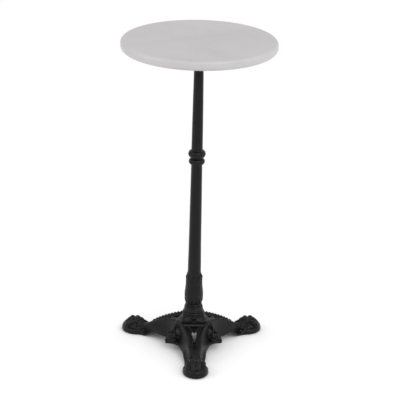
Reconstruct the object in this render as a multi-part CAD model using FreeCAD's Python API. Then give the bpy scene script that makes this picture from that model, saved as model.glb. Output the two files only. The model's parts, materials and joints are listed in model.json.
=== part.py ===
"""Tall bistro table: a marble disc on a two-part cast-iron column and a three-legged paw base.

Millimetres, +Z up. The origin is on the floor, on the column's axis. One leg points along -Y.
"""
import FreeCAD, Part
import math
import os

os.makedirs("parts", exist_ok=True)
Vec = FreeCAD.Vector

# Overall sizes
HEIGHT = 1060.0
TOP_RADIUS = 250.0
TOP_THICKNESS = 32.0
TOP_EDGE = 12.0
FLOOR_GAP = 1.0
LEG_ANGLES = (-90.0, 30.0, 150.0)
KNEE_ANGLES = (-30.0, 90.0, 210.0)

# Column: where the castings meet, and their bores
HUB_TOP = 125.0
COLUMN_JOINT = 665.0
UPPER_TOP = 1002.0
SPIGOT_LENGTH = 14.0
SPIGOT_RADIUS = 14.0
LOWER_BORE = 11.0
UPPER_BORE = 9.0
SLIP = 0.15

# Tie rod, M10, from under the hub to the top of the spider
ROD_RADIUS = 5.0
ROD_HOLE = 5.5
NUT_FLATS = 17.0
NUT_HEIGHT = 8.0
HUB_SEAT = 84.0
PLATE_WASHER = (17.0, 3.0)
SPRING_WASHER = (9.0, 2.2)
TOP_WASHER = (10.5, 2.0)
GAP = 0.1

# Spider under the marble, with its pads, screws and inserts
SPIDER_ANGLES = (45.0, 135.0, 225.0, 315.0)
PAD_THICKNESS = 3.0
PAD_RADIUS = 12.0
ARM_THICKNESS = 9.0
ARM_LENGTH = 168.0
PAD_REACH = 155.0
SCREW_REACH = 120.0
BOSS_RADIUS = 26.0
BOSS_BOTTOM = 980.0
BOSS_SOCKET = 15.3
NUT_POCKET = 1012.0
NUT_POCKET_RADIUS = 12.0
SCREW_RADIUS = 3.0
SCREW_HOLE = 3.6
SCREW_WASHER = (8.0, 1.6)
SCREW_HEAD = (5.5, 4.0)
INSERT_RADIUS = 5.5
INSERT_LENGTH = 15.0

# Base casting
WALL = 6.0
HUB_RADIUS = 36.0
COLLAR_RADIUS = 38.5
COLLAR_Z = 100.0
FOOT_CENTRE = 221.0
FOOT_HALF_LENGTH = 48.0
FOOT_HALF_WIDTH = 42.5
SOLE_HEIGHT = 22.0
SOLE_EDGE = 5.0
GLIDE_RADIUS = 10.0
GLIDE_THICKNESS = 4.0
RIDGE_THICKNESS = 8.0
CHANNEL_DEPTH = 7.0
SLOT_NEAR = (84.0, 7.8)
SLOT_FAR = (114.0, 2.8)
EYE_RADIUS = 8.0

# Each station of a leg: distance from the axis, height and half width of the ridges, then half width
# and height of the lower edge
LEG_STATIONS = (
    (25.0, 96.0, 50.0, 64.0, 27.0),
    (55.0, 94.0, 40.0, 58.0, 27.0),
    (85.0, 85.0, 28.5, 50.0, 26.5),
    (115.0, 73.0, 22.5, 43.0, 26.0),
    (140.0, 59.0, 19.0, 37.0, 20.0),
    (163.0, 44.0, 15.5, 33.0, FLOOR_GAP + 1.0),
    (190.0, 31.0, 15.5, 32.0, FLOOR_GAP + 1.0),
    (212.0, 27.0, 15.5, 36.0, FLOOR_GAP + 1.0),
)

# Levels of a leaf pendant: height, back, front and half width
KNEE_LEVELS = (
    (82.0, 30.0, 62.0, 12.0),
    (56.0, 40.0, 84.0, 20.0),
    (36.0, 66.0, 104.0, 24.0),
    (27.0, 74.0, 109.0, 24.0),
)


def save(node, shape):
    """Write one piece, or one group of equal pieces, and print what it is."""
    shape.exportStep("parts/" + node + ".step")
    print(node, "solids", len(shape.Solids), "volume", round(shape.Volume), "valid", shape.isValid())


def cylinder(radius, bottom, top, x=0.0, y=0.0):
    return Part.makeCylinder(radius, top - bottom, Vec(x, y, bottom))


def ring(outer, inner, bottom, top, x=0.0, y=0.0):
    return cylinder(outer, bottom, top, x, y).cut(cylinder(inner, bottom - 1, top + 1, x, y))


def hexagon(flats, bottom, top, x=0.0, y=0.0):
    corner = flats / math.sqrt(3.0)
    turns = [math.radians(60.0 * k) for k in range(7)]
    points = [Vec(x + corner * math.cos(a), y + corner * math.sin(a), bottom) for a in turns]
    return Part.Face(Part.makePolygon(points)).extrude(Vec(0, 0, top - bottom))


def turned(outline):
    """Turn a half outline about Z. A run is a list of (radius, z): two points are a straight line,
    three an arc through the middle one, and more a smooth curve."""
    edges = []
    for run in outline:
        points = [Vec(r, 0, z) for r, z in run]
        if len(points) == 2:
            edges.append(Part.LineSegment(points[0], points[1]).toShape())
        elif len(points) == 3:
            edges.append(Part.Arc(points[0], points[1], points[2]).toShape())
        else:
            curve = Part.BSplineCurve()
            curve.interpolate(points)
            edges.append(curve.toShape())
    start = edges[0].Vertexes[0].Point
    end = edges[-1].Vertexes[-1].Point
    foot = Vec(0, 0, start.z)
    head = Vec(0, 0, end.z)
    edges.append(Part.LineSegment(end, head).toShape())
    edges.append(Part.LineSegment(head, foot).toShape())
    edges.append(Part.LineSegment(foot, start).toShape())
    face = Part.Face(Part.Wire(Part.__sortEdges__(edges)))
    return face.revolve(Vec(0, 0, 0), Vec(0, 0, 1), 360)


def around(piece, angles):
    """Copies of a piece made along +X, turned to each angle."""
    copies = []
    for angle in angles:
        copy = piece.copy()
        copy.rotate(Vec(0, 0, 0), Vec(0, 0, 1), angle)
        copies.append(copy)
    return copies


def joined(body, pieces):
    """The body with each piece fused on in turn, which is surer than one large fuse."""
    for piece in pieces:
        body = body.fuse(piece)
    return body


def hollowed(body, tools):
    """The body with each tool cut out in turn."""
    for tool in tools:
        body = body.cut(tool)
    return body


def bead(radius, middle, half, crest):
    """Half round moulding as one arc run: it starts and ends at radius and swells to crest."""
    return [(radius, middle - half), (crest, middle), (radius, middle + half)]


def lower_column():
    """Vase foot, tapering shaft and the lower of the two rings."""
    outline = [
        [(33.3, HUB_TOP), (33.3, 130.0)],
        [(33.3, 130.0), (31.0, 136.0), (30.0, 140.0)],
        [(30.0, 140.0), (29.6, 147.0)],
        [(29.6, 147.0), (27.6, 148.5), (28.6, 151.0)],
        [(28.6, 151.0), (27.8, 153.5), (28.4, 156.0)],
        [(28.4, 156.0), (30.2, 165.0), (31.6, 181.0), (30.1, 203.0), (27.4, 226.0)],
        [(27.4, 226.0), (27.9, 234.0), (27.0, 247.0)],
        [(27.0, 247.0), (24.2, 258.0), (22.3, 272.0)],
        [(22.3, 272.0), (18.5, 640.0)],
        [(18.5, 640.0), (22.0, 643.0)],
        bead(22.0, 653.5, 10.5, 26.5),
        [(22.0, 664.0), (19.5, COLUMN_JOINT)],
    ]
    body = turned(outline)
    spigot = cylinder(SPIGOT_RADIUS, HUB_TOP - SPIGOT_LENGTH, HUB_TOP)
    bore = cylinder(LOWER_BORE, HUB_TOP - SPIGOT_LENGTH - 1, COLUMN_JOINT + 1)
    socket = cylinder(SPIGOT_RADIUS + SLIP, COLUMN_JOINT - SPIGOT_LENGTH - 1, COLUMN_JOINT + 1)
    return body.fuse(spigot).cut(bore).cut(socket).removeSplitter()


def upper_column():
    """Upper ring and the slimmer tapering shaft, with a spigot that drops into the lower casting."""
    outline = [
        [(19.5, COLUMN_JOINT), (23.0, 668.0)],
        bead(23.0, 679.0, 11.0, 28.0),
        [(23.0, 690.0), (18.7, 693.0)],
        [(18.7, 693.0), (15.0, UPPER_TOP)],
    ]
    spigot = cylinder(SPIGOT_RADIUS, COLUMN_JOINT - SPIGOT_LENGTH, COLUMN_JOINT)
    bore = cylinder(UPPER_BORE, COLUMN_JOINT - SPIGOT_LENGTH - 1, UPPER_TOP + 1)
    return turned(outline).fuse(spigot).cut(bore).removeSplitter()


def leg_section(station, inset):
    """Closed outline across a leg: two ridges with a channel between them, and flanks that flare
    out to the lower edge. inset moves the outline in by one wall and opens it underneath."""
    reach, ridge, spacing, width, edge = station
    top = ridge - inset
    outer = width - inset
    crown = spacing - inset * 0.9
    floor = ridge - CHANNEL_DEPTH - inset
    channel = max(crown - RIDGE_THICKNESS, 4.0)
    low = edge if inset == 0 else edge - 30.0
    mid_z = low + (top - low) * 0.42
    mid_y = crown + (outer - crown) * 0.34
    shoulder = top - 3.0
    right = [(outer, low), (mid_y, mid_z), (crown, shoulder)]
    brow = [(crown, shoulder), (crown - 3.5, top), (channel, floor)]
    edges = []
    for side in (1.0, -1.0):
        flank = [Vec(reach, side * y, z) for y, z in right]
        lip = [Vec(reach, side * y, z) for y, z in brow]
        edges.append(Part.Arc(flank[0], flank[1], flank[2]).toShape())
        edges.append(Part.LineSegment(lip[0], lip[1]).toShape())
        edges.append(Part.LineSegment(lip[1], lip[2]).toShape())
    left_floor = Vec(reach, -channel, floor)
    right_floor = Vec(reach, channel, floor)
    edges.append(Part.LineSegment(right_floor, left_floor).toShape())
    edges.append(Part.LineSegment(Vec(reach, -outer, low), Vec(reach, outer, low)).toShape())
    return Part.Wire(Part.__sortEdges__(edges))


def leg_solid(inset):
    """A leg along +X, or with an inset the hollow under it, which stops before the foot."""
    stations = LEG_STATIONS if inset == 0 else LEG_STATIONS[:-2]
    return Part.makeLoft([leg_section(station, inset) for station in stations], True)


def slot():
    """Teardrop hole through the channel's floor, wide near the hub and narrow further out."""
    low = 40.0
    near, near_radius = SLOT_NEAR
    far, far_radius = SLOT_FAR
    ends = cylinder(near_radius, low, HUB_TOP, near).fuse(cylinder(far_radius, low, HUB_TOP, far))
    sides = [(near, -near_radius), (far, -far_radius), (far, far_radius), (near, near_radius)]
    points = [Vec(x, y, low) for x, y in sides + sides[:1]]
    return ends.fuse(Part.Face(Part.makePolygon(points)).extrude(Vec(0, 0, HUB_TOP - low)))


def foot():
    """Lion paw along +X: an oval sole, four toes, a knuckle and a heel lump."""
    oval = Part.Ellipse(Vec(FOOT_CENTRE, 0, FLOOR_GAP), FOOT_HALF_LENGTH, FOOT_HALF_WIDTH).toShape()
    sole = Part.Face(Part.Wire(oval)).extrude(Vec(0, 0, SOLE_HEIGHT - FLOOR_GAP))
    rims = [edge for edge in sole.Edges if len(edge.Vertexes) == 1 and edge.Length > 100.0]
    sole = sole.makeFillet(SOLE_EDGE, rims)
    lumps = [(19.0, 214.0, 0.0, 34.0), (16.0, 239.0, 0.0, 31.0)]
    for side in (1.0, -1.0):
        lumps.append((13.5, 244.0, side * 10.5, 26.0))
        lumps.append((13.5, 231.0, side * 25.0, 27.0))
        lumps.append((14.0, 208.0, side * 16.0, 31.0))
    for radius, x, y, z in lumps:
        sole = sole.fuse(Part.makeSphere(radius, Vec(x, y, z)))
    return sole


def knee():
    """Leaf pendant between two legs, along +X: it swells and leans out down to a flat lip."""
    wires = []
    for z, back, front, half in KNEE_LEVELS:
        arc = Part.Arc(Vec(back, -half, z), Vec(front, 0, z), Vec(back, half, z)).toShape()
        chord = Part.LineSegment(Vec(back, half, z), Vec(back, -half, z)).toShape()
        wires.append(Part.Wire([arc, chord]))
    leaf = Part.makeLoft(wires, True, True)
    return leaf.cut(Part.makeSphere(EYE_RADIUS, Vec(91.0, 0, 53.0)))


def skirt(inset):
    """Bell that joins the hub to the legs; with an inset it is the hollow inside the bell."""
    base = 24.0 if inset == 0 else -10.0
    top = 104.0 if inset == 0 else HUB_SEAT
    outline = [
        [(84.0 - inset, base), (80.0 - inset, 30.0)],
        [(80.0 - inset, 30.0), (52.0 - inset, 58.0), (38.0 - inset * 0.6, top)],
    ]
    return turned(outline)


def tripod_base():
    """One hollow casting: hub, bell, three channelled legs with paws, three leaf pendants."""
    hub = cylinder(HUB_RADIUS, 70.0, HUB_TOP)
    collar = Part.makeTorus(COLLAR_RADIUS - 3.0, 3.0, Vec(0, 0, COLLAR_Z))
    outer = [hub, collar] + around(leg_solid(0.0), LEG_ANGLES) + around(foot(), LEG_ANGLES)
    body = joined(skirt(0.0), outer + around(knee(), KNEE_ANGLES))
    glide_bore = cylinder(GLIDE_RADIUS + SLIP, -1.0, GLIDE_THICKNESS + GAP, FOOT_CENTRE)
    cuts = around(leg_solid(WALL), LEG_ANGLES) + around(slot(), LEG_ANGLES) + around(glide_bore, LEG_ANGLES)
    cuts.append(skirt(WALL))
    cuts.append(cylinder(SPIGOT_RADIUS + SLIP, HUB_TOP - SPIGOT_LENGTH - 1.0, HUB_TOP + 1.0))
    cuts.append(cylinder(ROD_HOLE, 40.0, HUB_TOP))
    cuts.append(cylinder(2.0 * TOP_RADIUS, -20.0, FLOOR_GAP))
    return hollowed(body, cuts)


def top_spider():
    """Cast cross that carries the marble: a boss over the column and four ribbed arms."""
    top = HEIGHT - TOP_THICKNESS - PAD_THICKNESS
    low = top - ARM_THICKNESS
    boss = cylinder(BOSS_RADIUS, BOSS_BOTTOM, top)
    shoulder = ARM_LENGTH - 14
    outline = [(0, -22), (shoulder, -13), (ARM_LENGTH, -9), (ARM_LENGTH, 9), (shoulder, 13), (0, 22)]
    points = [Vec(x, y, low) for x, y in outline + outline[:1]]
    arm = Part.Face(Part.makePolygon(points)).extrude(Vec(0, 0, ARM_THICKNESS))
    rib_points = [Vec(0, -3, low), Vec(SCREW_REACH - 14, -3, low), Vec(0, -3, low - 28), Vec(0, -3, low)]
    rib = Part.Face(Part.makePolygon(rib_points)).extrude(Vec(0, 6, 0))
    body = boss.fuse(around(arm.fuse(rib), SPIDER_ANGLES))
    nut_pocket = cylinder(NUT_POCKET_RADIUS, NUT_POCKET, top + 1)
    column_socket = cylinder(BOSS_SOCKET + SLIP, BOSS_BOTTOM - 1, UPPER_TOP)
    holes = around(cylinder(SCREW_HOLE, low - 1, top + 1, SCREW_REACH), SPIDER_ANGLES)
    holes += [nut_pocket, column_socket, cylinder(ROD_HOLE, BOSS_BOTTOM, top)]
    return body.cut(holes).removeSplitter()


def marble_top():
    """Round slab with both edges rounded, and four blind holes for the inserts."""
    low = HEIGHT - TOP_THICKNESS
    slab = cylinder(TOP_RADIUS, low, HEIGHT)
    rims = [edge for edge in slab.Edges if abs(edge.Length - 2 * math.pi * TOP_RADIUS) < 1.0]
    slab = slab.makeFillet(TOP_EDGE, rims)
    hole = cylinder(INSERT_RADIUS + SLIP, low - 1, low + INSERT_LENGTH + 1, SCREW_REACH)
    return slab.cut(around(hole, SPIDER_ANGLES))


def group(piece, angles):
    return Part.makeCompound(around(piece, angles))


def fasteners():
    """Everything that holds the marble to the spider, and the rod that clamps the column."""
    low = HEIGHT - TOP_THICKNESS
    arm_low = low - PAD_THICKNESS - ARM_THICKNESS
    pad = cylinder(PAD_RADIUS, low - PAD_THICKNESS, low, PAD_REACH)
    insert = ring(INSERT_RADIUS, SCREW_RADIUS + GAP, low, low + INSERT_LENGTH, SCREW_REACH)
    washer_low = arm_low - SCREW_WASHER[1]
    washer = ring(SCREW_WASHER[0], SCREW_HOLE, washer_low, arm_low, SCREW_REACH)
    head = cylinder(SCREW_HEAD[0], washer_low - SCREW_HEAD[1], washer_low, SCREW_REACH)
    socket = hexagon(4.0, washer_low - SCREW_HEAD[1] - 1.0, washer_low - 1.5, SCREW_REACH)
    shank = cylinder(SCREW_RADIUS, washer_low - 1.0, low + INSERT_LENGTH - 2.0, SCREW_REACH)
    screw = head.fuse(shank).cut(socket)
    save("spider_pads", group(pad, SPIDER_ANGLES))
    save("marble_inserts", group(insert, SPIDER_ANGLES))
    save("spider_washers", group(washer, SPIDER_ANGLES))
    save("spider_screws", group(screw, SPIDER_ANGLES))


def tie_rod_set():
    """Rod, nut and washer in the spider's pocket, and two washers and a nut under the hub."""
    top_nut_low = NUT_POCKET + TOP_WASHER[1]
    plate_low = HUB_SEAT - PLATE_WASHER[1]
    spring_low = plate_low - SPRING_WASHER[1]
    nut_low = spring_low - NUT_HEIGHT
    bore = ROD_RADIUS + GAP
    save("tie_rod", cylinder(ROD_RADIUS, nut_low - 6.0, top_nut_low + NUT_HEIGHT + 2.0))
    for node, z in (("tie_rod_top_nut", top_nut_low), ("tie_rod_base_nut", nut_low)):
        save(node, hexagon(NUT_FLATS, z, z + NUT_HEIGHT).cut(cylinder(bore, z - 1, z + NUT_HEIGHT + 1)))
    save("tie_rod_top_washer", ring(TOP_WASHER[0], ROD_HOLE, NUT_POCKET, top_nut_low))
    save("hub_plate_washer", ring(PLATE_WASHER[0], ROD_HOLE, plate_low, HUB_SEAT))
    split = Part.makeBox(SPRING_WASHER[0] * 2, 1.2, 10.0, Vec(0, -0.6, spring_low - 3.0))
    save("hub_spring_washer", ring(SPRING_WASHER[0], ROD_HOLE, spring_low, plate_low).cut(split))


save("marble_top", marble_top())
save("top_spider", top_spider())
save("upper_column", upper_column())
save("lower_column", lower_column())
save("tripod_base", tripod_base())
save("foot_glides", group(cylinder(GLIDE_RADIUS, 0.0, GLIDE_THICKNESS, FOOT_CENTRE), LEG_ANGLES))
fasteners()
tie_rod_set()
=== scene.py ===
# %% [markdown]
# # A tall bistro table
#
# The table is a marble disc on a slim cast-iron column, which stands on a three-legged base with lion
# paws. Everything black is sand-cast iron under satin enamel. The CAD model gives the true sizes and
# the place of every piece, so it is loaded first and never moved. The castings then get meshes with
# the ornament that CAD leaves out, and each surface gets a material built from nodes.

# %% Load the frame
import json
import math
import bpy
import numpy as np
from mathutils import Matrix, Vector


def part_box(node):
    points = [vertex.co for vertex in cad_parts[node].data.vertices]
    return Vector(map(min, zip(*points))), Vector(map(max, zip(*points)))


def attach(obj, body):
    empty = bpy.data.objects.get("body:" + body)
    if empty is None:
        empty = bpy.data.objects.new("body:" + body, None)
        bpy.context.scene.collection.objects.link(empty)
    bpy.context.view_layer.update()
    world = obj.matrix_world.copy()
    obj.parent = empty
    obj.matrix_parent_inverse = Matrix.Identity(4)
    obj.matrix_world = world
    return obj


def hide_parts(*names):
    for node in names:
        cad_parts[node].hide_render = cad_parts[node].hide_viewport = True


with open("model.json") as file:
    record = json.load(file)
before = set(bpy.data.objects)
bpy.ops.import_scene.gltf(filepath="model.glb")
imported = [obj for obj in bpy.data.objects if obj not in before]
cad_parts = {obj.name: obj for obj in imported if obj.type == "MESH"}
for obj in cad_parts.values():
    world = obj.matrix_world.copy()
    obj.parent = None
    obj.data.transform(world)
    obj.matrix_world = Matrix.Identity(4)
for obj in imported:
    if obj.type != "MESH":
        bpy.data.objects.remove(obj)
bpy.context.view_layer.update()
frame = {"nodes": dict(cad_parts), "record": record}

import openvdb
from mathutils import Matrix, Vector

scene = bpy.context.scene
MM = 0.001
print("pieces in the frame:", len(frame["nodes"]))

# %% [markdown]
# ## Camera
#
# A product picture of a tall thing is taken from far away with a long lens, so that uprights stay
# nearly parallel. Here the lens is 155 mm and the camera stands over five metres back, a little to
# the left of the front leg, looking down by about 21 degrees. The direction is built from angles,
# and a small roll about the line of sight comes last.

# %% Camera
def place_camera(lens_mm, back, height, aside_deg, look_down_deg, turn_deg, roll_deg):
    data = bpy.data.cameras.new("camera")
    data.lens = lens_mm
    data.sensor_width = 36.0
    data.clip_end = 50.0
    camera = bpy.data.objects.new("camera", data)
    aside = math.radians(aside_deg)
    down = math.radians(look_down_deg)
    heading = math.radians(aside_deg + turn_deg)
    camera.location = (-back * math.sin(aside), -back * math.cos(aside), height)
    sight = Vector((math.sin(heading) * math.cos(down), math.cos(heading) * math.cos(down), -math.sin(down)))
    level = sight.to_track_quat("-Z", "Y").to_matrix()
    camera.rotation_euler = (level @ Matrix.Rotation(math.radians(roll_deg), 3, "Z")).to_euler()
    scene.collection.objects.link(camera)
    scene.camera = camera
    print("camera at", [round(c, 3) for c in camera.location])


place_camera(155.5, 5.269, 2.5244, 2.827, 20.839, 0.144, 1.341)

# %% [markdown]
# ## Floor and studio light
#
# Black enamel shows its shape only by what it mirrors. Two very soft lights from far away, one to the
# right of the camera and a weaker one to the left, light the marble and the castings. Two tall panels
# add a little light from the sides. The world is plain white, and it fills the shadows under the base.

# %% Floor and lights
def add_floor():
    bpy.ops.mesh.primitive_plane_add(size=30.0, location=(0, 0, 0))
    floor = bpy.context.object
    floor.name = "floor"
    paper = bpy.data.materials.new("floor_paper")
    paper.use_nodes = True
    shader = paper.node_tree.nodes["Principled BSDF"]
    shader.inputs["Base Color"].default_value = (0.93, 0.93, 0.93, 1)
    shader.inputs["Roughness"].default_value = 0.9
    shader.inputs["Specular IOR Level"].default_value = 0.1
    floor.data.materials.append(paper)


def add_panel(name, place, aim, width, height, watts):
    data = bpy.data.lights.new(name, "AREA")
    data.shape = "RECTANGLE"
    data.size = width
    data.size_y = height
    data.energy = watts
    panel = bpy.data.objects.new(name, data)
    panel.location = place
    panel.rotation_euler = (Vector(aim) - Vector(place)).to_track_quat("-Z", "Y").to_euler()
    scene.collection.objects.link(panel)


def add_sky_light(name, turn_deg, height_deg, softness_deg, strength):
    """Even light from one direction, as a far softbox gives. The turn is from the camera's side."""
    data = bpy.data.lights.new(name, "SUN")
    data.angle = math.radians(softness_deg)
    data.energy = strength
    lamp = bpy.data.objects.new(name, data)
    turn = math.radians(turn_deg)
    rise = math.radians(height_deg)
    towards = Vector((math.sin(turn) * math.cos(rise), -math.cos(turn) * math.cos(rise), math.sin(rise)))
    lamp.rotation_euler = towards.to_track_quat("Z", "Y").to_euler()
    scene.collection.objects.link(lamp)


def set_world(grey, strength):
    world = bpy.data.worlds.new("studio")
    world.use_nodes = True
    backdrop = world.node_tree.nodes["Background"]
    backdrop.inputs["Color"].default_value = (grey, grey, grey, 1)
    backdrop.inputs["Strength"].default_value = strength
    scene.world = world


scene.view_settings.view_transform = "Standard"
add_floor()
add_sky_light("key", 26.0, 40.0, 45.0, 1.2)
add_sky_light("fill", -50.0, 35.0, 60.0, 0.5)
add_panel("left_panel", (-2.4, -0.5, 1.7), (0, 0, 0.5), 0.7, 1.8, 8)
add_panel("right_panel", (2.4, -0.5, 1.7), (0, 0, 0.5), 0.7, 1.8, 8)
set_world(1.0, 0.74)

# %% [markdown]
# ## Writing materials as sums
#
# A material is arithmetic on patterns: a cloud times a strength, added to a base. One small class
# wraps a node's output so that plain Python operators add the Math nodes. Colours are mixed with
# Mix nodes, and every other node comes from one method.

# %% Shader helper
class Value:
    """One output of a material's node tree, which can be used in sums."""

    def __init__(self, tree, socket):
        self.tree = tree
        self.socket = socket

    def sum(self, operation, *others):
        node = self.tree.nodes.new("ShaderNodeMath")
        node.operation = operation
        for slot, item in zip(node.inputs, (self,) + others):
            if isinstance(item, Value):
                self.tree.links.new(item.socket, slot)
            else:
                slot.default_value = item
        return Value(self.tree, node.outputs[0])

    def __add__(self, other):
        return self.sum("ADD", other)

    __radd__ = __add__

    def __mul__(self, other):
        return self.sum("MULTIPLY", other)

    __rmul__ = __mul__

    def __sub__(self, other):
        return self.sum("SUBTRACT", other)

    def __rsub__(self, other):
        return (self * -1.0) + other

    def over(self, low, high):
        """0 below low and 1 above high, with a smooth step between."""
        node = self.tree.nodes.new("ShaderNodeMapRange")
        node.interpolation_type = "SMOOTHSTEP"
        self.tree.links.new(self.socket, node.inputs["Value"])
        node.inputs["From Min"].default_value = low
        node.inputs["From Max"].default_value = high
        return Value(self.tree, node.outputs["Result"])


class Finish:
    """A new material with its Principled shader, and one method for any other node."""

    def __init__(self, name):
        self.material = bpy.data.materials.new(name)
        self.material.use_nodes = True
        self.tree = self.material.node_tree
        self.shader = self.tree.nodes["Principled BSDF"]

    def node(self, kind, output=0, settings=None, **inputs):
        node = self.tree.nodes.new(kind)
        for key, item in (settings or {}).items():
            setattr(node, key, item)
        for key, item in inputs.items():
            slot = node.inputs[key.replace("_", " ")]
            if isinstance(item, Value):
                self.tree.links.new(item.socket, slot)
            else:
                slot.default_value = item
        return Value(self.tree, node.outputs[output])

    def noise(self, place, scale, detail=4.0, roughness=0.5, distortion=0.0):
        return self.node("ShaderNodeTexNoise", "Fac", Vector=place, Scale=scale, Detail=detail,
                         Roughness=roughness, Distortion=distortion)

    def mix(self, amount, first, second):
        node = self.tree.nodes.new("ShaderNodeMix")
        node.data_type = "RGBA"
        for slot, item in zip((node.inputs[0], node.inputs[6], node.inputs[7]), (amount, first, second)):
            if isinstance(item, Value):
                self.tree.links.new(item.socket, slot)
            else:
                slot.default_value = item
        return Value(self.tree, node.outputs[2])

    def set(self, **inputs):
        for key, item in inputs.items():
            slot = self.shader.inputs[key.replace("_", " ")]
            if isinstance(item, Value):
                self.tree.links.new(item.socket, slot)
            else:
                slot.default_value = item

    def bump(self, height, distance, strength=1.0):
        self.set(Normal=self.node("ShaderNodeBump", Height=height, Distance=distance, Strength=strength))

    def place(self):
        return self.node("ShaderNodeTexCoord", "Object")


# %% [markdown]
# ## Black enamel over cast iron
#
# Sand casting leaves a faintly pebbled skin, and the enamel that is sprayed over it rounds the
# pebbles off and pools a little. So the bump has two scales: a fine grain under a millimetre and a
# soft waviness of a centimetre or so. Where the waviness is high the enamel is slightly more
# rubbed, which is why the same cloud drives the colour and the roughness.

# %% Black enamel
def black_enamel():
    finish = Finish("black_enamel")
    place = finish.place()
    grain = finish.noise(place, 900.0, 3.0, 0.6)
    wave = finish.noise(place, 55.0, 3.0, 0.55)
    cloud = finish.noise(place, 18.0, 5.0, 0.6, 0.4)
    dust = cloud.over(0.45, 0.75) * 0.6 + grain.over(0.55, 0.8) * 0.4
    colour = finish.mix(dust, (0.0030, 0.0030, 0.0033, 1), (0.0080, 0.0078, 0.0077, 1))
    finish.set(Base_Color=colour, Roughness=0.22 + cloud * 0.14 + grain * 0.05, Specular_IOR_Level=0.2)
    finish.bump(grain * 0.22 + wave * 2.2, 0.0006, 0.7)
    return finish.material


enamel = black_enamel()

# %% [markdown]
# ## Polished white marble
#
# White marble is a pale ground with clouds of grey that drift in one direction, thin veins where the
# clouds fold, and a few dark mineral specks. The veins come from a noise field that is read where it
# crosses one half, after another noise has bent it. The polish is even, so the bump is almost nothing.

# %% Marble
def white_marble(name, roughness):
    finish = Finish(name)
    place = finish.place()
    drift = finish.node("ShaderNodeMapping", Vector=place, Rotation=(0.2, 0.1, 0.5), Scale=(1.0, 1.35, 1.2))
    cloud = finish.noise(drift, 4.5, 6.0, 0.55, 1.1)
    fold = finish.noise(drift, 9.0, 8.0, 0.62, 1.8)
    vein = 1.0 - (fold - 0.5).sum("ABSOLUTE").over(0.0, 0.035)
    fine = finish.noise(place, 160.0, 4.0, 0.6)
    speck = finish.noise(place, 46.0, 2.0, 0.5).over(0.735, 0.765)
    ground = finish.mix(cloud.over(0.35, 0.72), (0.482, 0.464, 0.470, 1), (0.442, 0.429, 0.437, 1))
    veined = finish.mix(vein * cloud.over(0.42, 0.7) * 0.18, ground, (0.42, 0.42, 0.44, 1))
    grained = finish.mix(fine.over(0.45, 0.75) * 0.12, veined, (0.58, 0.57, 0.56, 1))
    colour = finish.mix(speck * 0.55, grained, (0.30, 0.29, 0.28, 1))
    finish.set(Base_Color=colour, Roughness=roughness + fine * 0.05, Specular_IOR_Level=0.4)
    finish.bump(fine * 0.5 + speck * -1.0, 0.0001, 0.35)
    return finish.material


polished = white_marble("marble_polished", 0.3)
honed = white_marble("marble_sawn", 0.5)

# %% [markdown]
# ## Small hardware finishes
#
# The pieces under the top and inside the hub are seen only when the table is turned over, but each
# still gets its own finish: zinc plate is grey and mottled by its crystals, turned brass is warm with
# fine tool lines, and rubber is matt with a dusty bloom.

# %% Hardware finishes
def zinc_plate():
    finish = Finish("zinc_plate")
    place = finish.place()
    crystal = finish.node("ShaderNodeTexVoronoi", "Distance", Vector=place, Scale=420.0)
    smear = finish.noise(place, 90.0, 4.0, 0.6)
    colour = finish.mix(smear, (0.50, 0.51, 0.50, 1), (0.68, 0.68, 0.65, 1))
    finish.set(Base_Color=colour, Metallic=1.0, Roughness=0.28 + crystal * 0.2 + smear * 0.1)
    finish.bump(crystal + smear * 0.5, 0.0002, 0.4)
    return finish.material


def turned_brass():
    finish = Finish("turned_brass")
    place = finish.place()
    lines = finish.node("ShaderNodeTexWave", "Fac", {"bands_direction": "Z"}, Vector=place, Scale=900.0)
    tarnish = finish.noise(place, 120.0, 4.0, 0.6)
    colour = finish.mix(tarnish, (0.62, 0.44, 0.20, 1), (0.80, 0.62, 0.33, 1))
    finish.set(Base_Color=colour, Metallic=1.0, Roughness=0.3 + tarnish * 0.2)
    finish.bump(lines, 0.0002, 0.4)
    return finish.material


def pad_rubber():
    finish = Finish("pad_rubber")
    place = finish.place()
    bloom = finish.noise(place, 70.0, 5.0, 0.65)
    pebble = finish.noise(place, 1400.0, 2.0, 0.5)
    colour = finish.mix(bloom.over(0.4, 0.8), (0.022, 0.022, 0.022, 1), (0.06, 0.058, 0.055, 1))
    finish.set(Base_Color=colour, Roughness=0.72 + bloom * 0.2)
    finish.bump(pebble, 0.0002, 0.5)
    return finish.material


zinc = zinc_plate()
brass = turned_brass()
rubber = pad_rubber()

# %% [markdown]
# ## Turning round pieces
#
# Columns and tops are round, so their meshes are made as a potter works: an outline of radius and
# height is carried round the axis. The outline is read through a smooth curve, which gives as many
# rings as wanted, and a function may push each point in or out, which is how the leaves are raised.

# %% Turning helper
def smooth_through(points, at):
    """The height of a smooth curve through (x, y) points, at each of the given x."""
    x, y = (np.array(c, float) for c in zip(*points))
    slope = np.gradient(y, x)
    at = np.clip(at, x[0], x[-1])
    i = np.clip(np.searchsorted(x, at) - 1, 0, len(x) - 2)
    width = x[i + 1] - x[i]
    t = (at - x[i]) / width
    return ((1 + 2 * t) * (1 - t) ** 2 * y[i] + t * (1 - t) ** 2 * width * slope[i]
            + t * t * (3 - 2 * t) * y[i + 1] + t * t * (t - 1) * width * slope[i + 1])


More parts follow.
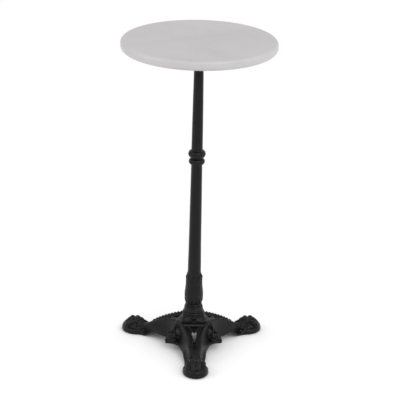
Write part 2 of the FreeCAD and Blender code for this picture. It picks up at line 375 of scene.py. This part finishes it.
def new_piece(name, points, faces, materials, stands_for):
    """Make a mesh piece in metres that rides with the table and stands for one CAD node."""
    mesh = bpy.data.meshes.new(name)
    mesh.vertices.add(len(points))
    mesh.vertices.foreach_set("co", np.asarray(points, np.float32).ravel())
    corners = np.asarray(faces, np.int32)
    mesh.loops.add(corners.size)
    mesh.loops.foreach_set("vertex_index", corners.ravel())
    mesh.polygons.add(len(corners))
    mesh.polygons.foreach_set("loop_start", np.arange(0, corners.size, corners.shape[1], dtype=np.int32))
    mesh.update(calc_edges=True)
    mesh.shade_smooth()
    for material in materials:
        mesh.materials.append(material)
    piece = bpy.data.objects.new(name, mesh)
    scene.collection.objects.link(piece)
    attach(piece, "root")
    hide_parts(stands_for)
    print(name, "faces", len(corners))
    return piece


def lathe(outline, around, push=None):
    """Points and square faces of an outline of (radius, height) in millimetres, turned about Z."""
    radius, height = (np.array(c, float)[:, None] for c in zip(*outline))
    angle = np.linspace(0, 2 * math.pi, around, endpoint=False)[None, :]
    radius = radius + 0 * angle
    height = height + 0 * angle
    if push:
        radius, height = push(radius, height, angle)
    points = np.stack([radius * np.cos(angle), radius * np.sin(angle), height], -1).reshape(-1, 3) * MM
    rows = len(outline)
    ring, step = np.meshgrid(np.arange(rows - 1), np.arange(around), indexing="ij")
    following = (step + 1) % around
    faces = np.stack([ring * around + step, ring * around + following,
                      (ring + 1) * around + following, (ring + 1) * around + step], -1).reshape(-1, 4)
    return points, faces


def bell(x, middle, half):
    """A smooth hump: 1 at the middle and 0 beyond half."""
    t = np.clip(np.abs(x - middle) / half, 0, 1)
    return (1 - t * t) ** 2


# %% [markdown]
# ## The marble top
#
# The slab is ground from a disc: flat faces, with both edges run over by a rounding wheel. A turned
# outline with arcs at the two edges gives the soft highlight round the rim. The underside is left
# sawn, so its faces take a second, duller material.

# %% Marble top
TOP_LOW, TOP_HIGH = (c[2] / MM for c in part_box("marble_top"))
TOP_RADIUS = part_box("marble_top")[1][0] / MM
EDGE = 12.0
TOP_STEPS = 256


def top_outline():
    turns = np.linspace(0, math.pi / 2, 12)
    low_arc = [(TOP_RADIUS - EDGE + EDGE * math.sin(t), TOP_LOW + EDGE - EDGE * math.cos(t)) for t in turns]
    high_arc = [(TOP_RADIUS - EDGE + EDGE * math.cos(t), TOP_HIGH - EDGE + EDGE * math.sin(t)) for t in turns]
    flats = [0.02, 60.0, 120.0, 180.0, TOP_RADIUS - EDGE - 1.0]
    under = [(r, TOP_LOW) for r in flats]
    over = [(r, TOP_HIGH) for r in reversed(flats)]
    return under + low_arc + high_arc + over, len(flats)


def make_top():
    outline, sawn_rows = top_outline()
    points, faces = lathe(outline, TOP_STEPS)
    top = new_piece("top_slab", points, faces, [polished, honed], "marble_top")
    sawn = np.arange(len(faces)) < sawn_rows * TOP_STEPS
    top.data.polygons.foreach_set("material_index", sawn.astype(np.int32))


make_top()

# %% [markdown]
# ## The upper column
#
# The upper casting is a plain tapering tube that ends in one moulded ring. The ring isn't smooth: the
# pattern maker carved a row of small swellings round it, and each catches its own spark of light. In
# the outline the ring is half an ellipse, and a cosine round the ring raises the swellings.

# %% Upper column
RING_BEADS = 20
SPIGOT_LENGTH = 14.0
SPIGOT_END, COLUMN_TOP = (c[2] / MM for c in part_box("upper_column"))
COLUMN_JOINT = SPIGOT_END + SPIGOT_LENGTH
UPPER_STEPS = 240
UPPER_SHAFT = ((693.0, 18.6), (724.0, 18.2), (791.0, 17.6), (858.0, 16.9), (925.0, 16.0), (COLUMN_TOP, 15.0))


def rows_between(low, high, step):
    return np.linspace(low, high, max(2, int(round((high - low) / step)) + 1))


def ring_swell(height, middle, half, rise):
    """How far a half-round ring stands out of the shaft at each height."""
    t = np.clip((height - middle) / half, -1, 1)
    return rise * np.sqrt(1 - t * t)


def beaded(radius, height, angle, middle, half):
    """Raise a row of swellings on a ring."""
    lobe = np.abs(np.cos(angle * RING_BEADS / 2)) ** 0.7 - 0.75
    return radius + 1.5 * lobe * bell(height, middle, half), height


def make_upper_column():
    ring_rows = rows_between(COLUMN_JOINT + 2.0, 693.0, 0.7)
    shaft_rows = rows_between(694.0, COLUMN_TOP, 8.0)
    outline = [(12.0, COLUMN_JOINT), (18.9, COLUMN_JOINT), (19.1, COLUMN_JOINT + 0.6)]
    outline += [(18.9 + ring_swell(z, 679.0, 12.0, 9.2), z) for z in ring_rows]
    outline += [(float(smooth_through(UPPER_SHAFT, z)), z) for z in shaft_rows]
    outline.append((12.0, COLUMN_TOP))
    points, faces = lathe(outline, UPPER_STEPS, lambda r, z, a: beaded(r, z, a, 678.0, 10.0))
    return new_piece("column_upper", points, faces, [enamel], "upper_column")


make_upper_column()

# %% [markdown]
# ## The lower column
#
# The lower casting starts with a second beaded ring, widens slowly down the shaft, and ends in a
# slender vase wrapped in acanthus leaves whose tips curl outward to make a collar. Under the vase
# come the turned mouldings. Each leaf is drawn in its own small coordinates: across, from -1 to 1,
# and up, from 0 to 1. Sums of smooth humps in those coordinates raise the leaf, its middle rib, its
# side veins and its curled tip.

# %% Lower column
LEAVES = 8
VASE_LOW = 155.5
LEAF_TIP = 254.0
LOWER_STEPS = 384
HUB_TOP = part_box("tripod_base")[1][2] / MM
LOWER_BODY = (
    (155.5, 25.4), (162.0, 27.2), (170.0, 28.6), (180.0, 29.6), (190.0, 29.7), (200.0, 28.7), (212.0, 27.3),
    (224.0, 26.4), (236.0, 26.4), (248.0, 24.5), (258.0, 22.5), (268.0, 22.0), (283.0, 21.8), (304.0, 21.6),
    (340.0, 20.9), (411.0, 20.2), (482.0, 19.7), (551.0, 19.0), (620.0, 18.4), (643.0, 18.3),
    (COLUMN_JOINT, 18.6))
FOOT_MOULDING = (
    (12.0, HUB_TOP), (32.6, HUB_TOP), (33.3, HUB_TOP + 0.8), (33.3, 127.5), (32.8, 129.5), (32.0, 131.0),
    (31.4, 133.5), (31.5, 136.0), (30.6, 137.2), (29.6, 138.4), (29.6, 140.0), (30.2, 141.6), (30.2, 143.4),
    (29.4, 145.0), (27.6, 145.8), (26.2, 146.4), (26.0, 147.4), (26.8, 148.2), (27.6, 149.0), (27.8, 150.2),
    (27.5, 151.2), (26.2, 152.0), (24.6, 152.8), (24.2, 154.4))


def leaf_rise(height, angle, turned, low, tip, half_share):
    """Relief of one row of leaves, in millimetres, with tips at the given height."""
    cell = 2 * math.pi / LEAVES
    off = (angle - turned + cell / 2) % cell - cell / 2
    up = np.clip((height - low) / (tip - low), 0, 1)
    width = half_share * (0.62 + 0.38 * np.sin(math.pi * up)) * np.sqrt(np.clip(1 - up ** 9, 0, 1)) + 1e-3
    lobes = 1 + 0.13 * np.cos(2 * math.pi * (up * 4.5 + 0.15))
    across = np.abs(off) / (cell / 2) / (width * lobes)
    inside = np.clip((1.0 - across) / 0.22, 0, 1)
    inside = inside * inside * (3 - 2 * inside)
    rib = np.exp(-(across / 0.16) ** 2)
    veins = np.cos(2 * math.pi * (up * 6.5 - across * 1.1)) * np.clip(across * 2, 0, 1)
    cupped = 0.5 + 0.5 * across ** 2
    curl = bell(height, tip - 4.5, 10.0) * 2.4
    present = (height > low) & (height < tip)
    return present * inside * (1.1 * cupped + 0.7 * rib + 0.42 * veins + curl)


def carve_leaves(radius, height, angle):
    """Two rows of leaves on the vase, petals round its foot, and the beads of the ring above."""
    front = leaf_rise(height, angle, 0.0, VASE_LOW, LEAF_TIP, 0.98)
    back = leaf_rise(height, angle, math.pi / LEAVES, VASE_LOW + 26.0, LEAF_TIP + 7.0, 0.8) * 0.8
    petal = np.abs(np.cos(angle * LEAVES)) ** 0.6
    petals = (2.8 * petal - 1.5) * bell(height, VASE_LOW + 8.0, 16.0)
    radius = radius + np.maximum(front, back) + petals * (height > VASE_LOW)
    return beaded(radius, height, angle, 653.0, 9.0)


def make_lower_column():
    outline = list(FOOT_MOULDING)
    vase_rows = rows_between(VASE_LOW, 270.0, 0.75)
    shaft_rows = rows_between(274.0, 642.0, 8.0)
    ring_rows = rows_between(642.6, COLUMN_JOINT - 0.8, 0.7)
    heights = np.concatenate([vase_rows, shaft_rows, ring_rows])
    radii = smooth_through(LOWER_BODY, heights) + ring_swell(heights, 653.3, 10.0, 7.6)
    outline += [(float(r), float(z)) for r, z in zip(radii, heights)]
    outline += [(18.4, COLUMN_JOINT - 0.4), (18.0, COLUMN_JOINT), (12.0, COLUMN_JOINT)]
    points, faces = lathe(outline, LOWER_STEPS, carve_leaves)
    return new_piece("column_lower", points, faces, [enamel], "lower_column")


make_lower_column()

# %% [markdown]
# ## Clay for the base
#
# The base is one casting with no hard joints: the hub runs into the legs, and the legs into the
# paws. That is hard to build from faces and easy to model in clay. So the shape is worked out as a
# field: at each point of a fine grid, a number says how far the point is from the surface, negative
# inside. Pieces are joined with a rounded seam, cut with a rounded edge, and OpenVDB, which comes
# with Blender, wraps the zero level in a mesh at the end.
#
# The base repeats every 120 degrees and each leg is the same left and right. The grid is therefore
# described in two folded ways: along and across the nearest leg, and along and across the nearest
# leaf pendant, which hangs half way between two legs.

# %% Clay helpers
GRID_STEP = 1.25
BASE_LOW, BASE_HIGH = (np.array(c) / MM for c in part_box("tripod_base"))


class Spot:
    """The grid's points: height, and distance along and across the nearest leg and pendant."""

    def __init__(self, low, high, step):
        axes = [np.arange(a - 4 * step, b + 4 * step, step, dtype=np.float32) for a, b in zip(low, high)]
        self.corner = [axis[0] for axis in axes]
        x, y = np.meshgrid(axes[0], axes[1], indexing="ij")
        out = np.hypot(x, y)
        turn = np.degrees(np.arctan2(y, x)) + 90.0
        off = np.radians(np.abs((turn + 60.0) % 120.0 - 60.0))
        self.out = out[:, :, None]
        self.along = (out * np.cos(off))[:, :, None]
        self.across = (out * np.sin(off))[:, :, None]
        self.leaf_along = (out * np.cos(math.pi / 3 - off))[:, :, None]
        self.leaf_across = (out * np.sin(math.pi / 3 - off))[:, :, None]
        self.z = axes[2][None, None, :]


def join(a, b, seam):
    """Both shapes, with a fillet about as wide as the seam."""
    h = np.clip(seam - np.abs(a - b), 0, None) / seam
    return np.minimum(a, b) - h * h * seam / 4


def keep(a, b, edge):
    """What both shapes share, with the new edge rounded."""
    return -join(-a, -b, edge)


def cut(a, tool, edge):
    """The first shape with the tool taken out of it."""
    return keep(a, -tool, edge)


def egg(x, y, z, centre, radii):
    """A ball stretched to three radii."""
    scaled = [(p - c) / r for p, c, r in zip((x, y, z), centre, radii)]
    far = np.sqrt(sum(s * s for s in scaled))
    slope = np.sqrt(sum((s / r) ** 2 for s, r in zip(scaled, radii))) + 1e-6
    return far * (far - 1) / slope


def finger(x, y, z, start, end, thick_start, thick_end):
    """A rounded stick whose thickness changes along its length."""
    axis = np.subtract(end, start)
    rel = [p - c for p, c in zip((x, y, z), start)]
    t = np.clip(sum(r * a for r, a in zip(rel, axis)) / (axis @ axis), 0, 1)
    far = np.sqrt(sum((r - t * a) ** 2 for r, a in zip(rel, axis)))
    return far - (thick_start + (thick_end - thick_start) * t)


# %% [markdown]
# ## Legs
#
# A leg is an upturned channel: two beaded ridges with a trough between them, and flanks that drop
# from the ridges and flare out towards the lower edge. The ridge's height, the flare and the lower
# edge all change along the leg, so each is a smooth curve through a few points. The flank leans out
# faster the deeper it goes, which gives the hollow sweep that a plaster pattern has. Each curve is a
# row of pairs: the distance along the leg, then the height, half width or depth there.

# %% Legs
RIDGE_TOP = (
    (0, 95.5), (31, 95), (50, 94), (63, 91.5), (80, 86.5), (100, 79), (120, 70), (140, 59), (160, 46),
    (175, 35), (200, 28))
RIDGE_SIDE = (
    (0, 64), (31, 54), (50, 42.5), (70, 33.5), (84, 29), (100, 25), (116, 22), (150, 17.5), (175, 12.5),
    (200, 11))
EDGE_SIDE = (
    (0, 76), (31, 68), (50, 62), (63, 57.5), (78, 53), (94, 48.5), (109, 44.5), (124, 40.5), (150, 34.5),
    (175, 29), (205, 31))
EDGE_LOW = (
    (0, 27), (70, 27), (100, 26.5), (122, 26), (138, 22), (152, 12), (163, 4.5), (174, 1), (205, 1))
TROUGH_DEPTH = ((0, 5), (60, 6), (100, 7), (135, 6), (160, 3), (180, 1), (205, 1))
WALL = 6.0
BEAD_PITCH = 10.6
BEAD_RADIUS = 3.3


def flank_side(at, ridge, side, edge, spread):
    """Half width of the leg at each height: the ridge's, plus a flare that grows with depth."""
    depth = np.clip((ridge - at.z) / (ridge - edge), 0, 1.15)
    return side + (spread - side) * depth ** 1.35


def leg_clay(at):
    """The solid leg with its trough, the space under it, and the curves that its details follow."""
    ridge, side, spread, edge, deep = (smooth_through(curve, at.along).astype(np.float32) for curve in
                                       (RIDGE_TOP, RIDGE_SIDE, EDGE_SIDE, EDGE_LOW, TROUGH_DEPTH))
    flank = (at.across - flank_side(at, ridge, side + 3.0, edge, spread)) * 0.8
    crown = (at.z - ridge) * 0.9
    hem = bell(at.z, edge + 6.0, 9.0) * 2.8 * np.clip((at.along - 112) / 30, 0, 1)
    body = keep(keep(flank - hem, crown, 5.0), edge - at.z, 3.0)
    body = keep(body, at.along - 214.0, 6.0)
    trough = keep((at.across - side + 4.0) * 0.9, (ridge - deep - at.z) * 0.9, 5.0)
    body = cut(body, trough, 3.0)
    beside_slot = np.clip(np.abs(at.along - 96.0) / 10.0 - 1.2, 0, 1)
    keel = 7.0 * np.clip(1.5 - at.across / 11.0, 0, 1) * beside_slot
    hollow = keep(flank + WALL, crown + WALL + deep * 0.9 + keel, 6.0)
    hollow = keep(hollow, at.along - 160.0, 8.0)
    return body, hollow, (ridge, side, ridge - deep)


def bead_rows(at, ridge, side):
    """A string of beads along each ridge, from the hub to the ankle."""
    number = np.clip(np.round(at.along / BEAD_PITCH), 5, 15)
    step = at.along - number * BEAD_PITCH
    return np.sqrt(step ** 2 + (at.across - side) ** 2 + ((at.z - ridge + 0.8) * 0.9) ** 2) - BEAD_RADIUS


# %% [markdown]
# ## Hub and bell
#
# The column stands on a short drum that flares towards its foot, with a fine ring near its top. The
# drum rests on a flat three-sided plate, and below that is a step that reaches further out over the
# legs. Then a bell opens out to meet the legs, slowly at first and faster lower down.

# %% Hub and bell
def hub_clay(at):
    spread = 35.5 + 10.0 * np.clip((115.0 - at.z) / 15.0, 0, 1.2) ** 2
    drum = keep(keep(at.out - spread, at.along - 38.5, 3.0), np.abs(at.z - 111.0) - 14.0, 1.0)
    plate = keep(keep(at.along - 37.0, at.out - 62.0, 4.0), np.abs(at.z - 98.4) - 2.0, 1.2)
    step = keep(at.along - 49.0, np.abs(at.z - 91.0) - 3.4, 1.2)
    ledge = join(plate, keep(step, at.across - 40.0, 2.0), 0.8)
    lip = np.hypot(at.out - 35.5, at.z - 121.0) - 1.6
    depth = np.clip((99.0 - at.z) / 76.0, 0, 1)
    side = 37.0 + 46.0 * depth ** 1.7
    bell_skin = keep((at.out - side) * 0.8, keep(at.z - 99.0, 23.0 - at.z, 2.0), 3.0)
    hub = join(join(join(drum, lip, 1.5), ledge, 1.5), bell_skin, 4.0)
    hollow = keep((at.out - side + WALL) * 0.8, at.z - 84.0, 6.0)
    return hub, hollow


def drum_panels(at):
    """Six raised tablets round the drum, each with a small rosette."""
    turn = np.arctan2(at.across, at.along)
    cell = math.pi / 3
    off = ((turn + cell / 2) % cell - cell / 2) * 36.0
    height = at.z - 110.5
    plate = keep(np.maximum(np.abs(off) - 11.0, np.abs(height) - 5.6), np.abs(at.out - 36.8) - 1.4, 1.0)
    rose = np.sqrt(off ** 2 + height ** 2 + (at.out - 38.0) ** 2) - 3.6
    petals = np.abs(np.sqrt(off ** 2 + height ** 2) - 5.4) + np.abs(at.out - 38.0) - 1.4
    return join(join(plate, rose, 1.0), petals, 1.0)


# %% [markdown]
# ## Leaf pendants
#
# In each gap between two legs a leaf hangs from the hub. A rib runs down its middle, and a strap on
# each side bends out and comes back to the rib, so that the two straps frame a diamond. A slit is cut
# between strap and rib, and the leaf ends in a broad lip shaped like a fan.

# %% Leaf pendants
def pendant_clay(at):
    x, y, z = at.leaf_along, at.leaf_across, at.z
    blade = egg(x, y, z, (80.0, 0.0, 42.0), (22.0, 17.0, 19.0))
    fan = (x - 110.0) * 0.66 + y * 0.75
    lip = keep(keep(fan, 62.0 - x, 4.0), np.abs(z - 31.5) - 4.2, 4.0)
    rib = join(finger(x, y, z, (64.0, 0.0, 91.0), (87.0, 0.0, 64.0), 4.4, 3.2),
               finger(x, y, z, (87.0, 0.0, 64.0), (106.0, 0.0, 38.0), 3.2, 3.8), 1.0)
    strap = join(finger(x, y, z, (77.0, 2.0, 75.0), (84.0, 20.0, 56.0), 3.2, 3.6),
                 finger(x, y, z, (84.0, 20.0, 56.0), (100.0, 3.0, 43.0), 3.6, 3.6), 1.0)
    curl = finger(x, y, z, (84.0, 22.0, 44.0), (97.0, 13.0, 34.0), 4.0, 4.0)
    web = egg(x, y, z, (58.0, 0.0, 50.0), (24.0, 33.0, 30.0))
    leaf = join(join(join(blade, web, 8.0), join(lip, curl, 1.0), 2.0), join(rib, strap, 1.0), 2.0)
    return cut(leaf, finger(x, y, z, (86.0, 10.5, 63.0), (96.0, 8.0, 51.0), 4.8, 3.6), 1.0)


# %% [markdown]
# ## Paws
#
# A lion's paw stands on a smooth oval sole whose top rises a little towards the front. Two middle toes
# and two outer toes are short and bend down over it, and a tuft closes the ankle behind them. Fine
# flutes in the surface stand for fur, and between tuft and toes each side has a deep dark hollow. The
# toes are rounded sticks, joined with narrow seams so that the grooves between them stay.

# %% Paws
PAW_CENTRE = 221.0
PAW_HALF_LENGTH = 48.0
PAW_HALF_WIDTH = 42.5


def paw_clay(at):
    x, y, z = at.along, at.across, at.z
    oval = (np.sqrt(((x - PAW_CENTRE) / PAW_HALF_LENGTH) ** 2 + (y / PAW_HALF_WIDTH) ** 2) - 1.0) * 43.0
    rise = np.clip((x - 220.0) / 32.0, 0, 1)
    cap = z - 20.0 - 7.0 * rise * rise * (3 - 2 * rise)
    sole = keep(oval + 0.012 * np.clip(z - 6.0, 0, None) ** 2, keep(cap, 1.0 - z, 2.0), 7.0)
    heart = egg(x, y, z, (PAW_CENTRE, 0.0, 16.0), (37.0, 31.0, 27.0))
    inner_toe = finger(x, y, z, (237.0, 8.3, 38.5), (248.0, 9.3, 29.0), 9.6, 8.2)
    outer_toe = finger(x, y, z, (226.0, 23.0, 35.0), (238.0, 27.0, 26.0), 9.3, 8.0)
    tuft = egg(x, y, z, (214.0, 0.0, 34.5), (11.5, 20.0, 17.5))
    curl = finger(x, y, z, (207.0, 15.0, 38.0), (193.0, 31.0, 21.0), 6.0, 4.5)
    spur = finger(x, y, z, (193.0, 31.0, 21.0), (174.0, 32.0, 11.0), 4.5, 3.0)
    paw = join(join(sole, heart, 5.0), join(inner_toe, outer_toe, 1.2), 2.0)
    paw = join(paw, join(tuft, join(curl, spur, 2.0), 3.0), 3.0)
    fur = 1.1 * np.cos(y * 0.95 + x * 0.08) * bell(x, 200.0, 34.0) * np.clip((z - 20.0) / 8.0, 0, 1)
    paw = paw + fur
    return cut(paw, egg(x, y, z, (205.0, 34.0, 33.0), (8.5, 16.0, 9.5)), 1.5)


def ankle_leaves(at):
    """Leaf lobes that lie over the lower leg, between the trough's end and the tuft."""
    x, y, z = at.along, at.across, at.z
    lobes = []
    for start, end, thick in (((150.0, 0.0, 45.0), (169.0, 0.0, 34.0), 6.0),
                              ((158.0, 10.0, 41.0), (178.0, 16.0, 28.0), 5.0),
                              ((170.0, 3.0, 31.0), (188.0, 7.0, 26.0), 5.5),
                              ((174.0, 14.0, 28.0), (190.0, 21.0, 21.0), 5.5)):
        lobes.append(finger(x, y, z, start, end, thick * 0.6, thick))
    shape = lobes[0]
    for lobe in lobes[1:]:
        shape = join(shape, lobe, 1.0)
    return shape


# %% [markdown]
# ## Putting the casting together
#
# The large solids are joined first, and the space under the bell and legs is cut away from them. Beads
# and tablets go on after that. Next come the teardrop slot through each trough, the three-cornered
# niche with its border, and the groove. The rod's hole and the seats for the column and the glides
# are cut last. The order matters, because a cut made too early would be filled again.

# %% Tripod base
SLOT_START, SLOT_END = 84.0, 114.0
SLOT_WIDE, SLOT_LOSS = 7.8, 5.0
COLUMN_SEAT, ROD_HOLE, GLIDE_SEAT = 14.2, 5.5, 10.2


def slot_clay(at, floor):
    """The teardrop: round near the hub, narrowing outward, with its hub end cut away below."""
    start = SLOT_START - 1.2 * np.clip(floor - 1.0 - at.z, 0, 12.0)
    t = np.clip((at.along - start) / (SLOT_END - start), 0, 1)
    opening = np.hypot(at.along - start - (SLOT_END - start) * t, at.across) - (SLOT_WIDE - SLOT_LOSS * t)
    return keep(opening, 40.0 - at.z, 1.0)


def groove_clay(at, floor):
    """A deep narrow groove that carries the teardrop's line on down the leg."""
    inside = keep(at.across - 4.2, np.abs(at.along - 133.0) - 15.0, 3.0)
    return keep(inside, floor - 10.0 - at.z, 2.0)


def niche_clay(at, floor):
    """A three-cornered hollow between hub and teardrop, and the raised border along its sides."""
    side = 13.5 - 0.5 * (at.along - 52.0)
    niche = keep((at.across - side) * 0.9, np.abs(at.along - 62.5) - 10.5, 1.0)
    niche = keep(niche, floor - 10.0 - at.z, 3.0)
    border = keep(np.abs(at.across - side - 3.2) * 0.9 - 2.2, np.abs(at.along - 67.0) - 15.0, 1.0)
    return niche, keep(border, np.abs(at.z - floor) - 2.6, 1.8)


def base_clay(at):
    leg, under_leg, (ridge, side, floor) = leg_clay(at)
    hub, under_hub = hub_clay(at)
    shape = join(leg, hub, 9.0)
    shape = join(shape, pendant_clay(at), 6.0)
    shape = join(shape, ankle_leaves(at), 2.0)
    shape = join(shape, paw_clay(at), 4.0)
    shape = cut(shape, under_leg, 3.0)
    shape = cut(shape, under_hub, 3.0)
    shape = join(shape, bead_rows(at, ridge, side), 1.2)
    shape = join(shape, drum_panels(at), 0.8)
    shape = cut(shape, slot_clay(at, floor), 1.5)
    niche, border = niche_clay(at, floor)
    shape = cut(join(shape, border, 1.0), niche, 1.0)
    shape = cut(shape, groove_clay(at, floor), 2.0)
    shape = cut(shape, keep(at.out - COLUMN_SEAT, 110.0 - at.z, 0.5), 0.5)
    shape = cut(shape, at.out - ROD_HOLE, 0.5)
    shape = keep(shape, at.z - HUB_TOP, 0.5)
    shape = keep(shape, BASE_LOW[2] - at.z, 1.0)
    glide = keep(np.hypot(at.along - PAW_CENTRE, at.across) - GLIDE_SEAT, at.z - 4.1, 0.3)
    return cut(shape, glide, 0.3)


def make_base():
    at = Spot(BASE_LOW, BASE_HIGH, GRID_STEP)
    field = np.clip(base_clay(at), -3 * GRID_STEP, 3 * GRID_STEP).astype(np.float32)
    grid = openvdb.FloatGrid(float(3 * GRID_STEP))
    grid.copyFromArray(field)
    points, _, quads = grid.convertToPolygons(isovalue=0.0, adaptivity=0.0)
    points = (points * GRID_STEP + np.array(at.corner)) * MM
    return new_piece("tripod_casting", points, quads[:, ::-1], [enamel], "tripod_base")


make_base()

# %% [markdown]
# ## Hardware kept from the design
#
# The rod, nuts, washers, screws, inserts, pads and glides are already the right shape in the CAD
# model, so each keeps its own mesh and only takes its finish.

# %% Finishes for the CAD pieces
FINISHES = {"zinc_steel": zinc, "insert_brass": brass, "pad_rubber": rubber, "black_iron": enamel}


def dress_frame():
    for entry in frame["record"]["subparts"]:
        finish = FINISHES.get(entry["material_slot"])
        node = frame["nodes"].get(entry["node"])
        if finish and node:
            for slot in node.material_slots:
                slot.material = finish


dress_frame()
print("finishes used:", len(FINISHES))
